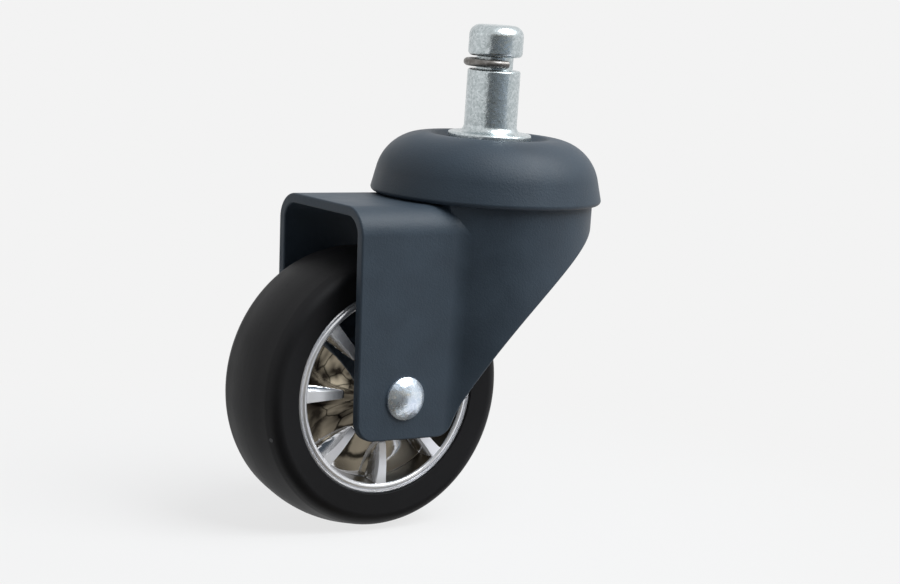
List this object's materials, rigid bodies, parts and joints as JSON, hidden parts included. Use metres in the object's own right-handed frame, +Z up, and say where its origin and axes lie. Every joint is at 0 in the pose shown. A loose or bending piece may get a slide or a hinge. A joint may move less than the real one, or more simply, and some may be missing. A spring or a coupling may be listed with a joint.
{
  "type": "swivel castor",
  "caption": "Swivel chair castor with a grip-ring stem, a ball-race swivel under a domed cap, a pressed steel fork and a rubber-tyred wheel with finned hub caps.",
  "frame": {"origin": "on the stem axis, at the top of the stem's shoulder flange, where the chair's socket ends", "axes": "+Z up along the stem, the axle along Y, the wheel trailing towards -X"},
  "size_m": [0.0797, 0.0476, 0.1015],
  "materials": {
    "zinc_plate": "bright zinc plate with a fine spangle",
    "spring_steel": "dark drawn wire",
    "powder_coat": "black powder coat, semi-gloss with a fine grain",
    "bearing_steel": "polished",
    "black_moulding": "moulded, satin",
    "tyre_rubber": "moulded rubber, satin",
    "chrome_plate": "bright plated moulding"
  },
  "bodies": {
    "stem": {"stem": "zinc_plate", "grip_ring": "spring_steel", "swivel_cap": "powder_coat", "lower_race": "zinc_plate"},
    "upper_balls": {"upper_race_balls": "bearing_steel"},
    "lower_balls": {"lower_race_balls": "bearing_steel"},
    "fork": {"fork": "powder_coat", "axle_rivet": "zinc_plate", "axle_sleeve": "bearing_steel"},
    "wheel": {"wheel_core": "black_moulding", "tyre": "tyre_rubber", "hub_cap_near": "chrome_plate", "hub_cap_far": "chrome_plate"}
  },
  "joints": [
    {"name": "swivel", "type": "hinge", "parent": "stem", "child": "fork", "pos_m": [0, 0, 0], "axis": [0, 0, 1], "continuous": true},
    {"name": "wheel_spin", "type": "hinge", "parent": "fork", "child": "wheel", "pos_m": [-0.0277, 0, -0.0513], "axis": [0, 1, 0], "continuous": true},
    {"name": "upper_ball_orbit", "type": "hinge", "parent": "stem", "child": "upper_balls", "pos_m": [0, 0, 0], "axis": [0, 0, 1], "continuous": true},
    {"name": "lower_ball_orbit", "type": "hinge", "parent": "stem", "child": "lower_balls", "pos_m": [0, 0, 0], "axis": [0, 0, 1], "continuous": true}
  ],
  "couplings": [
    {"joint": "upper_ball_orbit", "follows": "swivel", "ratio": 0.5},
    {"joint": "lower_ball_orbit", "follows": "swivel", "ratio": 0.5}
  ]
}
